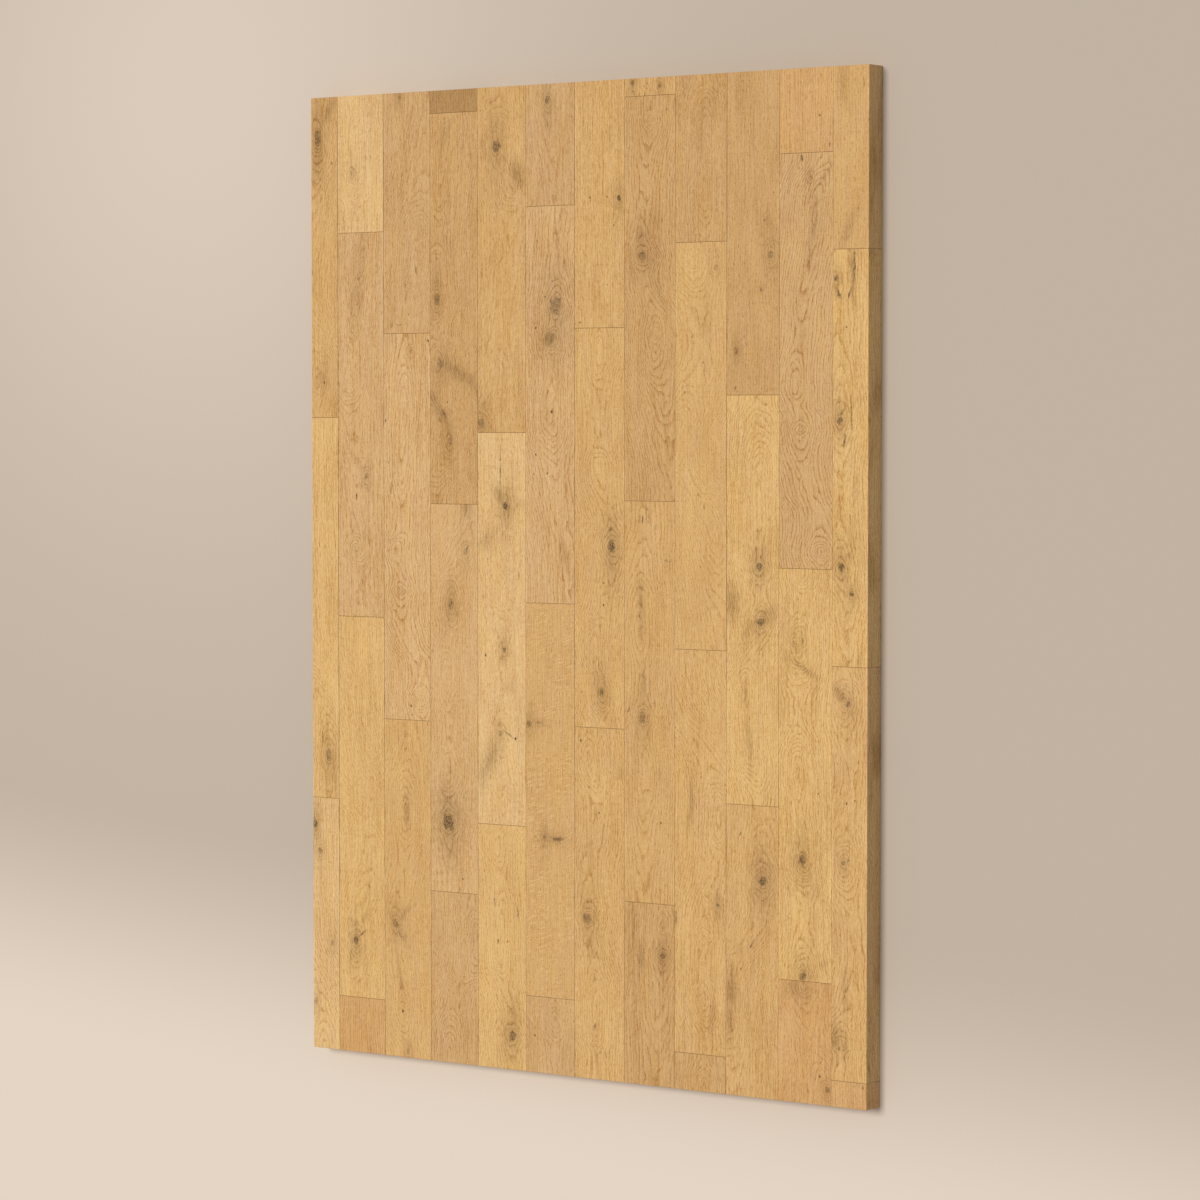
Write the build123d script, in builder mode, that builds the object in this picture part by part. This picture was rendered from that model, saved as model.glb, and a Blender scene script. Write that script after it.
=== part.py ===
"""A square-edged panel of solid oak strip parquet, lying face up.

The panel is made of end-matched oak strips laid in rows, with the end joints
staggered from row to row. Every strip has a tongue on its right side and lower
end and a groove on its left side and upper end. The outermost strips are sawn
off square along the panel's edges, so their outer sides are plain.

Millimetres. X runs across the rows, Y along the strips, Z up out of the face.
The origin is the middle of the panel's underside.
"""

import os

from build123d import *

# One full strip
strip_length = 360.0
strip_width = 55.0
strip_thickness = 22.0
face_bevel = 0.3

# Tongue and groove
tongue_thickness = 6.0
tongue_reach = 5.0
tongue_tip_bevel = 0.4
lower_lip = 7.0
groove_side_play = 0.15
groove_end_play = 0.2
underside_setback = 0.3

# Panel: full rows between two rows that are ripped to a narrower width
panel_length = 900.0
full_rows = 10
first_row_width = 32.0
last_row_width = 36.0

# Distance of the first end joint of each row from the panel's top edge
first_joints = [301.0, 128.0, 223.0, 21.0, 315.0, 110.0, 221.0, 16.0, 147.0, 282.0, 73.0, 157.0]
shortest_offcut = 12.0

# Worked out from the sizes above
row_widths = [first_row_width] + [strip_width] * full_rows + [last_row_width]
panel_width = sum(row_widths)
panel_left = -panel_width / 2
panel_top = panel_length / 2
panel_bottom = -panel_length / 2
tongue_low = lower_lip
tongue_high = lower_lip + tongue_thickness
wear_layer = strip_thickness - tongue_high
groove_height = tongue_thickness + 2 * groove_side_play
groove_depth = tongue_reach + groove_end_play


def row_edges():
    """X of the long joints, from the panel's left edge to its right edge."""
    edges = [panel_left]
    for width in row_widths:
        edges.append(edges[-1] + width)
    return edges


def end_joints(row):
    """Y of a row's strip ends, from the panel's top edge down to its bottom edge."""
    ends = [panel_top]
    joint = panel_top - first_joints[row % len(first_joints)]
    while joint > panel_bottom + shortest_offcut:
        if joint < panel_top - shortest_offcut:
            ends.append(joint)
        joint -= strip_length
    return ends + [panel_bottom]


def parquet_strip(name, left, right, bottom, top, last_row, first_row, last_strip, first_strip):
    """One solid oak strip whose face fills the rectangle between four joint lines."""
    side_tongue = 0.0 if last_row else tongue_reach
    end_tongue = 0.0 if last_strip else tongue_reach
    width = right - left
    length = top - bottom
    full_width = width + side_tongue
    corner = (Align.MIN, Align.MIN)
    low_corner = (Align.MIN, Align.MIN, Align.MIN)

    with BuildPart() as strip:
        # Cross-section, drawn at the upper end: body, side tongue and side groove
        with BuildSketch(Plane.XZ.offset(-top)):
            with Locations((left, 0)):
                Rectangle(width, strip_thickness, align=corner)
            if not last_row:
                with Locations((right, tongue_low)):
                    Rectangle(side_tongue, tongue_thickness, align=corner)
            if not first_row:
                with Locations((left, tongue_low - groove_side_play)):
                    Rectangle(groove_depth, groove_height, align=corner, mode=Mode.SUBTRACT)
                with Locations((left, 0)):
                    Rectangle(underside_setback, lower_lip, align=corner, mode=Mode.SUBTRACT)
        extrude(amount=length + end_tongue)

        # Lower end: the wood above and below the tongue is milled back to the shoulder
        if not last_strip:
            with Locations((left, bottom - end_tongue, tongue_high)):
                Box(full_width, end_tongue, wear_layer, align=low_corner, mode=Mode.SUBTRACT)
            with Locations((left, bottom - end_tongue, 0)):
                Box(full_width, end_tongue, tongue_low, align=low_corner, mode=Mode.SUBTRACT)

        # Upper end: a slot across the whole width, and the underside set back below it
        if not first_strip:
            with Locations((left, top - groove_depth, tongue_low - groove_side_play)):
                Box(full_width, groove_depth, groove_height, align=low_corner, mode=Mode.SUBTRACT)
            with Locations((left, top - underside_setback, 0)):
                Box(full_width, underside_setback, lower_lip, align=low_corner, mode=Mode.SUBTRACT)

        # The face's edges are eased, and so are the tips of the tongues
        chamfer(strip.faces().sort_by(Axis.Z)[-1].edges(), length=face_bevel)
        tips = ShapeList()
        if not last_row:
            tips += strip.faces().filter_by(Axis.X).sort_by(Axis.X)[-1].edges().filter_by(Axis.Y)
        if not last_strip:
            tips += strip.faces().filter_by(Axis.Y).sort_by(Axis.Y)[0].edges().filter_by(Axis.X)
        if tips:
            chamfer(tips, length=tongue_tip_bevel)

    strip.part.label = name
    return strip.part


os.makedirs("parts", exist_ok=True)
edges = row_edges()
for row in range(len(row_widths)):
    ends = end_joints(row)
    for number in range(len(ends) - 1):
        name = f"row_{row + 1:02d}_strip_{number + 1}"
        strip = parquet_strip(
            name,
            left=edges[row],
            right=edges[row + 1],
            bottom=ends[number + 1],
            top=ends[number],
            last_row=row == len(row_widths) - 1,
            first_row=row == 0,
            last_strip=number == len(ends) - 2,
            first_strip=number == 0,
        )
        export_step(strip, f"parts/{name}.step")
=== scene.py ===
"""Dresses the oak strips of a parquet panel and sets a plain studio stage around it.

Every strip keeps its milled solid and gets an oak of its own: growth rings round a heart that rises
and dives below the face, pores and fibres along the grain, and the knots, cracks and stains that this
strip has. Places on a strip are in millimetres: across from its left edge, down from its upper end,
and deep from its face.
"""

import math
from types import SimpleNamespace
from typing import NamedTuple

import bmesh
import bpy
from mathutils import Matrix, Vector


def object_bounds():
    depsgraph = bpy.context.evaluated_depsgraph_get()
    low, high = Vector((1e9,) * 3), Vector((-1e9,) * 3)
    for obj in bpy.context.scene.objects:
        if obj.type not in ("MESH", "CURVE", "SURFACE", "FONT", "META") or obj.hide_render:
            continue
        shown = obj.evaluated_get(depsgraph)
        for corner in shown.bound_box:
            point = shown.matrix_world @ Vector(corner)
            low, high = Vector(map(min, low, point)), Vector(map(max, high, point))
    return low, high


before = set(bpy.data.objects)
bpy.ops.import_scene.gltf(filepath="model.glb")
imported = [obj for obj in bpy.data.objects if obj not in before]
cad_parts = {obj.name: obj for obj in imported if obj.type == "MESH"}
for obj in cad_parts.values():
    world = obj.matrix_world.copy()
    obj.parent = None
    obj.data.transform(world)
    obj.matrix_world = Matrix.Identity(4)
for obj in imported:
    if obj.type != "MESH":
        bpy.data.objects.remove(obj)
CAD_BOX = [list(corner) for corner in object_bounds()]

bl_info = {
    "name": "Oak parquet panel",
    "version": (1, 0, 0),
    "blender": (4, 5, 0),
    "location": "View3D > Sidebar > Parquet",
    "description": "Finishes the oak strips of a parquet panel and sets its stage",
    "category": "Material",
}

MM = 0.001


def from_screen(red, green, blue):
    """Linear colour of a screen colour given as 0 to 255."""
    shares = (value / 255 for value in (red, green, blue))
    return tuple(
        ((share + 0.055) / 1.055) ** 2.4 if share > 0.04045 else share / 12.92 for share in shares)


# What a strip can have on its face

class Knot(NamedTuple):
    """A branch in the wood. Grain parts round it by pull, and it has growth rings of its own by whorl."""
    across: float
    down: float
    radius: float
    stretch: float = 1.3
    dark: float = 0.6
    whorl: float = 0.8
    pull: float = 0.8


def heart_knot(across, down, radius, stretch=1.3, dark=0.6):
    """A knot that the strip's own rings already close round."""
    return Knot(across, down, radius, stretch, dark, whorl=0.0, pull=0.0)


class Streak(NamedTuple):
    """A crack (dark) or a stain (tint); it leans in degrees, its lower end to the right."""
    across: float
    down: float
    half_length: float
    half_width: float
    lean: float = 0.0
    dark: float = 0.0
    tint: float = 0.0


# A pinhole's half length and half width as shares of its size, and how dark it is
PIN_LENGTH = 1.7
PIN_WIDTH = 1.3
PIN_DARK = 0.95

# A crack is drawn wider than its size by this share, because its edges are ragged
CRACK_SPREAD = 1.25


def pin(across, down, size=0.9):
    """A pinhole-sized dark spot."""
    return Streak(across, down, size * PIN_LENGTH, size * PIN_WIDTH, dark=PIN_DARK)


def crack(across, down, half_length, half_width, dark, lean=0.0):
    """A thin dark split along the grain."""
    return Streak(across, down, half_length, half_width * CRACK_SPREAD, lean, dark=dark)


def stain(across, down, half_length, half_width, tint, lean=0.0):
    """A soft brown-grey discoloration."""
    return Streak(across, down, half_length, half_width, lean, tint=tint)


class Grain(NamedTuple):
    """The rings' heart as (across, down, deep) points, and how wide and how clear the rings are."""
    heart: tuple
    ring: float = 2.6
    contrast: float = 0.7
    flecks: float = 0.0


def straight(aside=-60, ring=2.6, contrast=0.7, flecks=0.0, deep=30):
    """Rings cut upright, their heart beside the strip: lines along it."""
    return Grain(((aside, 0, deep),), ring, contrast, flecks)


def figured(*heart, ring=2.5, contrast=0.8):
    """Rings cut flat: arches that point to where the heart dives, and ovals where it comes up."""
    return Grain(heart, ring, contrast)


def eye(across, down, size, stretch):
    """A place where the heart comes up to the face and the rings close round it."""
    reach = size * stretch
    return (across, down - reach, size), (across, down, 0), (across, down + reach, size)


class Strip(NamedTuple):
    """The oak of one strip."""
    tone: str
    grain: Grain
    marks: tuple


STRIPS = {}


def lay(row, number, tone, grain, *marks):
    """Sets the oak of a strip, by its row from the left and its number from the row's upper end."""
    STRIPS[f"row_{row:02d}_strip_{number}"] = Strip(tone, grain, marks)


lay(1, 1, "honey",
    figured(*eye(7, 38, 12, 1.6), (0, 95, 22), (-12, 180, 26), (6, 262, 6), (4, 301, 14), ring=2.4,
            contrast=0.6),
    stain(22, 12, 13, 4, 0.7, -25), heart_knot(8, 38, 4.2, 2.4, 0.75), stain(8, 52, 26, 6, 0.85, -6),
    pin(25, 62), stain(14, 263, 9, 5, 0.35), pin(15, 268))
lay(1, 2, "wheat",
    figured((-40, 0, 30), (-30, 200, 28), (10, 270, 18), *eye(20, 319, 10, 2.0), contrast=0.55),
    crack(12, 306, 10, 0.8, 0.7), heart_knot(19, 319, 3.6, 1.8, 0.6), stain(20, 326, 20, 8, 0.5))
lay(1, 3, "straw", figured((-25, 0, 20), (-20, 120, 22), (10, 200, 16), (14, 239, 8)),
    Knot(3, 26, 3.0, 1.6, 0.9), Knot(9, 51, 2.4, 1.3, 0.7), Knot(23, 138, 2.2, 1.2, 0.5),
    Knot(3, 195, 2.0, 1.4, 0.4))
lay(2, 1, "straw",
    figured((18, 0, 3), (18, 22, 5), (18, 45, 3), *eye(18, 73, 6, 1.6), (20, 105, 30), contrast=0.5),
    pin(19, 5, 0.7), crack(16, 53, 13, 0.7, 0.35), stain(18, 72, 7, 5, 0.55))
lay(2, 2, "tan",
    figured((32, 0, 8), (27, 34, 0), (25, 46, 4), (23, 58, 0), (20, 74, 5), (18, 88, 1), (16, 100, 4),
            (15, 112, 0), (14, 123, 4), (13, 134, 0), (16, 175, 22), (30, 300, 30), ring=2.2,
            contrast=0.7),
    stain(29, 10, 12, 4, 0.35), stain(23, 56, 34, 7, 0.35, -8), pin(20, 216, 0.7),
    Knot(34, 229, 2.4, 1.2, 0.6), crack(22, 247, 6, 0.9, 0.9), Knot(22, 296, 5, 1.2, 0.1, 1.0))
lay(2, 3, "wheat",
    figured((-40, 0, 30), (-10, 150, 28), (38, 220, 20), (30, 260, 14), *eye(21, 306, 10, 1.5),
            (20, 350, 18), contrast=0.5),
    heart_knot(20, 306, 3.4, 1.3, 0.95), crack(28, 299, 8, 1.2, 0.7, -50),
    stain(14, 320, 14, 2.4, 0.7, -8), stain(30, 285, 12, 3, 0.4, -30), stain(33, 262, 12, 1.6, 0.4, -20))
lay(2, 4, "amber", straight(-60, 2.4, 0.9))
lay(3, 1, "rose",
    figured((60, 0, 30), (48, 80, 26), (43, 110, 16), (40, 132, 7), (36, 165, 3), (24, 195, 3),
            (8, 223, 3), contrast=0.6),
    Knot(19, 4, 2.0, 1.3, 0.7), crack(38.5, 164, 7, 1.1, 0.95, 8), Knot(26, 178, 1.6, 1.3, 0.25),
    pin(13.5, 201), pin(30, 205.5), pin(17, 215, 0.6), pin(20, 215, 0.6), pin(24, 215, 0.6))
lay(3, 2, "beige",
    figured((24, 0, 12), (23, 70, 3), (22, 110, 4), (23, 180, 13), (16, 203, 5), (18, 222, 9),
            *eye(19, 240, 8, 1.2), (30, 285, 13), *eye(43, 341, 14, 2.0), contrast=1.1),
    pin(52, 7, 1.2), Knot(32, 16, 2.0, 1.2, 0.3), pin(2, 81), pin(5.5, 120, 0.8),
    crack(9, 143, 15, 0.8, 0.6, -8), heart_knot(19, 240, 5.0, 1.2, 0.12), pin(32, 347, 1.2),
    pin(32.5, 355))
lay(3, 3, "gold",
    figured((28, 0, 20), (27, 50, 12), *eye(26, 83, 6, 2.6), (20, 140, 14), *eye(13, 192, 9, 1.5),
            (16, 235, 8), *eye(21, 273, 7, 2.0), (28, 317, 14), contrast=0.7),
    stain(26, 84, 14, 3.4, 0.7), heart_knot(13, 192, 3.4, 1.4, 0.6), stain(15, 195, 14, 5, 0.65, 35),
    stain(22, 184, 12, 3, 0.55, -35), crack(19, 203, 8, 1.0, 0.6, 45), stain(17, 236, 22, 2.6, 0.5, 8),
    pin(21, 274, 1.2), Knot(27.5, 311, 2.0, 1.3, 0.5))
lay(4, 1, "umber", straight(-50, 2.4, 0.7))
lay(4, 2, "brown",
    figured((20, 0, 12), (19, 14, 4), (17, 30, 3), (12, 75, 6), (8, 112, 12), (7, 140, 4), (8, 171, 2),
            (3, 200, 12), (11, 231, 2), (-6, 258, 12), (12, 283, 6), *eye(22, 302, 6, 1.4), (8, 335, 16),
            (4, 360, 24), ring=2.4),
    stain(18, 20, 12, 4, 0.4, -20), Knot(8, 171, 3.0, 1.8, 0.65), heart_knot(12, 231, 4.5, 0.9, 0.45),
    stain(12, 231, 9, 5, 0.6, -15), stain(33, 239, 27, 6.5, 0.65, 56), stain(4, 264, 9, 5, 0.65, 28),
    stain(13, 278, 14, 5, 0.7, 38), crack(16.5, 277, 8, 1.2, 0.9, 30), stain(22, 294, 10, 4, 0.65, 10),
    heart_knot(23, 302, 3.0, 1.4, 0.6), pin(20, 266, 0.7))
lay(4, 3, "beige",
    figured((50, 0, 20), (34, 50, 16), *eye(24, 92, 7, 2.0), (21, 125, 12), *eye(19, 160, 7, 3.0),
            (22, 215, 12), (21, 255, 8), *eye(21, 294, 14, 1.3), (24, 345, 16), contrast=0.6),
    stain(42, 4, 9, 5, 0.6), pin(43, 40), Knot(41, 44, 2.6, 1.4, 0.4), stain(24, 80, 16, 5, 0.35),
    heart_knot(23.5, 93, 3.6, 1.4, 0.65), stain(31, 101, 5, 3, 0.5), crack(23, 247, 18, 0.6, 0.5),
    heart_knot(20.5, 295, 7.4, 1.1, 0.95), stain(22, 295, 20, 11, 0.4), pin(37, 347, 0.7))
lay(4, 4, "rose",
    figured((48, 0, 16), (55, 45, 4), (52, 70, 10), (28, 95, 17), (23, 125, 9), (22, 155, 1), ring=2.2,
            contrast=1.0))
lay(5, 1, "honey",
    figured((26, 0, 26), *eye(22, 54, 7, 2.4), (38, 85, 7), (40, 120, 20), (26, 220, 24), (14, 275, 14),
            *eye(3, 306, 14, 1.2), contrast=0.5),
    heart_knot(22, 54, 4.4, 1.4, 0.7), stain(22, 52, 18, 7, 0.35), stain(30, 64, 10, 2, 0.5, 40),
    stain(46, 81, 13, 7, 0.8, 15), heart_knot(4, 306, 4.2, 1.1, 0.75), stain(5, 304, 10, 8, 0.5))
lay(5, 2, "straw",
    figured((-20, 0, 24), (-10, 120, 24), (29, 198, 16), (28, 240, 16), (27, 272, 12), (30, 330, 8),
            contrast=0.4),
    crack(26, 32, 24, 0.8, 0.7), Knot(32, 67, 3.6, 1.1, 1.0, 0.0), stain(26, 59, 9, 5, 0.9, 25),
    stain(46, 66, 7, 4, 0.4, 80), stain(10, 99, 9, 6, 0.45, -35), crack(47, 131, 5, 0.9, 0.55),
    pin(29.5, 164, 0.8), Knot(30.5, 198, 2.2, 1.4, 0.75), pin(9, 204, 1.1), pin(29, 235, 0.6),
    stain(39, 232, 8, 4, 0.3), heart_knot(26, 276, 2.8, 1.5, 0.55), crack(35, 276, 9, 1.2, 0.6, 60),
    pin(43, 280, 1.2), stain(26, 278, 8, 5, 0.5, -28), stain(13, 303, 28, 7, 0.6, -28))
lay(5, 3, "wheat",
    figured((28, 0, 8), (22, 16, 3), (26, 50, 10), (27, 95, 3), (27, 125, 4), (32, 155, 12),
            *eye(40, 193, 12, 1.2), (40, 225, 14)),
    crack(19, 71, 6, 0.9, 0.7, 4), crack(23, 107.5, 3, 1.0, 0.8), pin(34, 107, 0.8),
    crack(46, 81, 7, 1.1, 0.6, 6), crack(22, 160, 4, 0.8, 0.4, 15), heart_knot(39, 194, 4.8, 1.1, 0.85),
    stain(42, 196, 10, 8, 0.4, 30))
lay(6, 1, "rose", figured(*eye(24, 14, 7, 1.8), (28, 60, 12), (32, 110, 16), contrast=0.5),
    heart_knot(24, 14.5, 3.0, 1.6, 0.7))
lay(6, 2, "tan",
    figured((37, 0, 16), (34, 55, 15), (35, 75, 11), (35, 92, 0), (33, 106, 7), (30, 119, 1),
            (29, 140, 12), (29, 182, 8), (32, 240, 22), (50, 335, 24), ring=2.3, contrast=1.0),
    heart_knot(33.5, 91, 7.6, 1.2, 0.6), heart_knot(27, 120, 6.4, 1.1, 0.35),
    stain(27, 120, 14, 11, 0.7, -40), stain(36, 88, 16, 10, 0.4), stain(30, 140, 12, 7, 0.35),
    pin(22, 82), pin(11.5, 110), pin(29, 186, 1.1), pin(11.5, 225), pin(9, 243, 1.2), pin(24, 242, 0.8),
    stain(45, 319, 18, 2.4, 0.45, 12), crack(38, 15, 14, 0.7, 0.4, -4))
lay(6, 3, "honey", straight(-80, 2.4, 0.4, flecks=1.0),
    Knot(4, 110, 3.0, 1.0, 0.7), crack(15, 109, 5, 1.2, 0.5, 88), stain(12, 110, 12, 5, 0.4, 88),
    Knot(21, 213, 2.4, 1.0, 0.8), crack(36, 214.5, 9, 2.0, 0.9, 86), stain(30, 214, 16, 6, 0.5, 86))
lay(6, 4, "rose", figured((34, 0, 10), *eye(33, 20, 5, 1.5), (34, 50, 14), contrast=0.5),
    pin(10, 36), heart_knot(33, 20, 2.0, 1.3, 0.2))
lay(7, 1, "gold", straight(-60, 2.6, 0.5),
    pin(17, 104), pin(36, 104, 0.6), Knot(49, 105.5, 2.4, 1.3, 0.85), pin(43, 129.5, 0.8),
    pin(36, 182.5, 0.8), pin(6, 216))
lay(7, 2, "gold",
    figured((28, 0, 7), (27, 14, 2), (27, 60, 13), (27, 105, 15), (28, 124, 8), (36, 165, 13),
            *eye(41, 196, 11, 1.6), (34, 245, 13), (22, 287, 3), (23, 302, 6), *eye(30, 328, 7, 1.6),
            (36, 360, 14)),
    heart_knot(39.5, 181, 2.4, 1.4, 0.6), heart_knot(41, 196, 4.2, 1.6, 0.9), stain(40, 190, 20, 8, 0.4),
    pin(32, 229), pin(32, 249), pin(8, 328, 0.8), heart_knot(30, 327.5, 3.0, 1.3, 0.75),
    stain(28, 315, 16, 6, 0.3))
lay(7, 3, "gold",
    figured((14, 0, 12), (16, 32, 4), (24, 70, 14), (18, 125, 15), *eye(15, 173, 12, 1.3), (22, 215, 10),
            (24, 240, 4), (24, 268, 2), (26, 300, 12), ring=2.4),
    crack(7, 12, 2.4, 1.0, 0.9), stain(51, 40, 6, 4, 0.45), pin(16, 54), pin(27, 77),
    heart_knot(14.5, 173.5, 5.0, 1.2, 0.65), stain(15, 173, 14, 9, 0.35),
    crack(22, 226, 5, 0.9, 0.45, 10), crack(24, 251, 4, 0.9, 0.4, 15), crack(23, 270, 4, 1.5, 0.8, -15),
    crack(35, 296, 5, 1.0, 0.5, 6), pin(14, 306, 0.8), stain(17, 110, 26, 2, 0.35))
lay(8, 1, "honey", figured((24, 0, 2), (24, 16, 8)),
    Knot(9, 5, 2.2, 1.4, 0.7), Knot(38, 8, 1.6, 1.4, 0.6))
lay(8, 2, "brown",
    figured((28, 0, 7), *eye(28, 21, 7, 1.5), (25, 55, 13), (21, 100, 16), *eye(20, 143, 15, 1.2),
            (29, 183, 12), *eye(34, 212, 7, 2.0), (42, 265, 17), (54, 360, 28), ring=2.3, contrast=1.0),
    heart_knot(19.5, 142, 4.6, 1.1, 0.6), stain(20, 125, 12, 9, 0.5), stain(22, 146, 16, 12, 0.5),
    pin(46, 13, 0.7), stain(44, 297, 12, 1.4, 0.4, 8), stain(38, 175, 20, 3, 0.3, 20))
lay(8, 3, "honey",
    figured((23, 0, 24), (19, 60, 18), (18, 95, 8), (18, 120, 7), (19, 150, 12), *eye(20, 193, 11, 1.5),
            (24, 240, 8), (22, 300, 15), (22, 360, 20), ring=2.4),
    crack(20, 17, 5, 1.0, 0.75), crack(24, 13, 12, 0.7, 0.6), crack(17, 15, 4, 0.7, 0.5),
    crack(46, 53, 5, 1.0, 0.5, 80), stain(18, 92, 20, 3, 0.6), stain(20, 165, 16, 3, 0.55),
    heart_knot(20, 193, 4.0, 1.5, 0.55), stain(20, 193, 16, 8, 0.45), crack(5, 187, 4, 1.0, 0.6, -20),
    crack(33, 181, 4, 1.0, 0.5), pin(40, 287))
lay(8, 4, "brown", figured((44, 0, 9), (43, 18, 5), *eye(42, 46, 9, 1.3), (38, 90, 14), (34, 164, 22)),
    heart_knot(42, 46, 2.8, 1.1, 0.9), stain(42, 44, 10, 8, 0.35), stain(19, 50, 12, 3.4, 0.6),
    stain(10, 20, 20, 2, 0.4))
lay(9, 1, "brown",
    figured((30, 0, 18), (31, 24, 9), (31, 60, 3), (31, 105, 3), (31, 147, 12), ring=2.4, contrast=0.6),
    stain(28, 60, 20, 4, 0.25))
lay(9, 2, "gold",
    figured((17, 0, 1), (20, 28, 13), (28, 90, 26), (12, 140, 18), (-2, 178, 3), (16, 212, 14),
            (38, 244, 8), (48, 300, 20), (55, 360, 26), contrast=0.6),
    Knot(43, 23, 2.6, 1.1, 0.3), pin(10, 132, 0.7), pin(30, 106, 0.7), crack(31, 234, 3, 1.0, 0.75),
    stain(35, 75, 24, 6, 0.25))
lay(9, 3, "gold",
    figured((-18, 0, 18), (-6, 50, 20), (40, 105, 18), (47, 148, 5), (42, 190, 14),
            *eye(31, 254, 8, 1.3), (31, 285, 9), *eye(31, 313, 6, 1.8), (36, 350, 14), ring=2.4),
    stain(18, 133, 18, 2.4, 0.55), stain(15, 150, 14, 2, 0.4, -8), Knot(46, 225.5, 1.8, 1.3, 0.8),
    crack(1, 239, 9, 1.6, 0.5), pin(39, 316, 0.7), stain(40, 330, 16, 2.4, 0.4, -6))
lay(9, 4, "brown", figured((32, 0, 12), (32, 33, 1), ring=2.2))
lay(10, 1, "brown", straight(-50, 2.6, 0.45),
    pin(39, 130), stain(42, 132, 6, 4, 0.35), Knot(45.5, 160, 3.4, 1.2, 0.5), pin(11, 158, 0.7),
    pin(36, 190, 1.1), stain(36, 190, 4, 3, 0.4), Knot(10, 244, 2.4, 1.2, 0.7),
    stain(8, 256, 14, 5, 0.25), pin(9, 276, 1.1))
lay(10, 2, "wheat",
    figured((34, 0, 26), (34, 22, 19), (35, 112, 3), *eye(34, 150, 7, 1.3), (35, 176, 12),
            *eye(37, 198, 9, 1.2), (26, 228, 11), (20, 252, 3), (21, 305, 3), (30, 335, 11),
            (34, 360, 18), ring=2.3),
    heart_knot(34, 150, 4.0, 1.05, 0.85), stain(5, 182, 15, 8, 0.85),
    heart_knot(36, 198.5, 4.0, 1.0, 0.7), stain(38, 197, 17, 7, 0.8, -55), stain(21, 264, 12, 3, 0.4, 4),
    stain(24, 306, 24, 3, 0.4, 6))
lay(10, 3, "honey",
    figured((38, 0, 20), (38, 30, 15), *eye(38, 66, 12, 1.5), (30, 112, 13), (2, 150, 12), (-4, 175, 4),
            (2, 210, 14), (10, 258, 24), ring=2.4, contrast=0.6),
    crack(15, 26, 3, 1.0, 0.7, -30), heart_knot(38.5, 66, 4.4, 1.3, 0.9), stain(38, 66, 14, 8, 0.35),
    crack(27, 123, 5, 1.1, 0.85, -25), stain(16, 128, 6, 2, 0.5, -10), stain(5, 165, 14, 5, 0.75),
    stain(4, 190, 14, 4, 0.65), pin(16, 145, 0.8))
lay(11, 1, "amber", straight(-50, 2.4, 0.7),
    pin(41, 41), crack(51, 67, 3, 0.9, 0.7))
lay(11, 2, "rose",
    figured((50, 0, 14), (43, 22, 7), (37, 45, 3), (34, 80, 4), (27, 115, 7), (22, 160, 11),
            (15, 203, 4), (18, 220, 9), *eye(23, 239, 8, 1.2), (30, 290, 15), *eye(43, 345, 14, 1.8),
            ring=2.6, contrast=1.3),
    crack(23, 5, 5, 1.3, 0.95, 15), Knot(32, 21, 1.8, 1.2, 0.5), stain(45, 22, 22, 2, 0.45, -40),
    stain(34, 70, 26, 4, 0.35, -8), heart_knot(23, 239, 4.0, 1.2, 0.15))
lay(11, 3, "wheat",
    figured((24, 0, 3), (24, 32, 14), (21, 64, 5), (22, 92, 14), (21, 125, 21), (21, 178, 4),
            (23, 215, 7), *eye(25, 254, 7, 1.6), (26, 300, 18), *eye(26, 357, 8, 1.3), ring=2.1,
            contrast=0.85),
    Knot(16, 66, 3.0, 1.3, 0.35), Knot(24, 63, 2.2, 1.2, 0.45), stain(25, 86, 15, 2.4, 0.65, 62),
    heart_knot(25, 254, 4.2, 1.4, 0.8), heart_knot(26, 356, 4.0, 1.0, 0.75),
    stain(40, 280, 10, 5, 0.3, 30), pin(41, 195, 0.6), stain(47, 343, 8, 4, 0.35))
lay(11, 4, "amber", figured((27, 0, 2), (28, 20, 12), (34, 50, 18), (46, 92, 10), contrast=0.5),
    stain(17, 6, 10, 7, 0.55, 20), stain(28, 8, 8, 8, 0.4), pin(43, 82, 1.1),
    Knot(51, 93, 3.0, 1.1, 0.5), stain(50, 95, 10, 5, 0.4, -30))
lay(12, 1, "honey", straight(-50, 2.6, 0.4),
    crack(31, 17, 5, 0.8, 0.6, -10), stain(16, 140, 16, 4, 0.4, -25), stain(10, 20, 20, 4, 0.2))
lay(12, 2, "wheat",
    figured((8, 0, 16), (6, 80, 14), *eye(7, 148, 6, 1.5), (8, 210, 16), *eye(8, 275, 8, 1.3),
            (16, 310, 12), (14, 360, 18)),
    stain(20, 22, 24, 2.4, 0.9, 2), crack(22, 14, 16, 1.0, 0.85), crack(17, 38, 8, 1.0, 0.8, -20),
    Knot(3, 25, 2.0, 1.2, 0.8), crack(6, 39, 6, 1.6, 0.9, 12), pin(14, 67, 0.8),
    heart_knot(7, 147, 3.4, 1.1, 0.9), crack(10, 140, 5, 1.2, 0.6, -35), crack(12, 165, 7, 1.2, 0.8, -6),
    crack(19, 141, 22, 0.9, 0.75, 2), heart_knot(9, 274, 4.0, 1.1, 0.85), stain(14, 266, 9, 4, 0.6, -42),
    Knot(19.5, 297, 2.4, 1.1, 0.8), stain(27, 353, 7, 3, 0.3))
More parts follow.
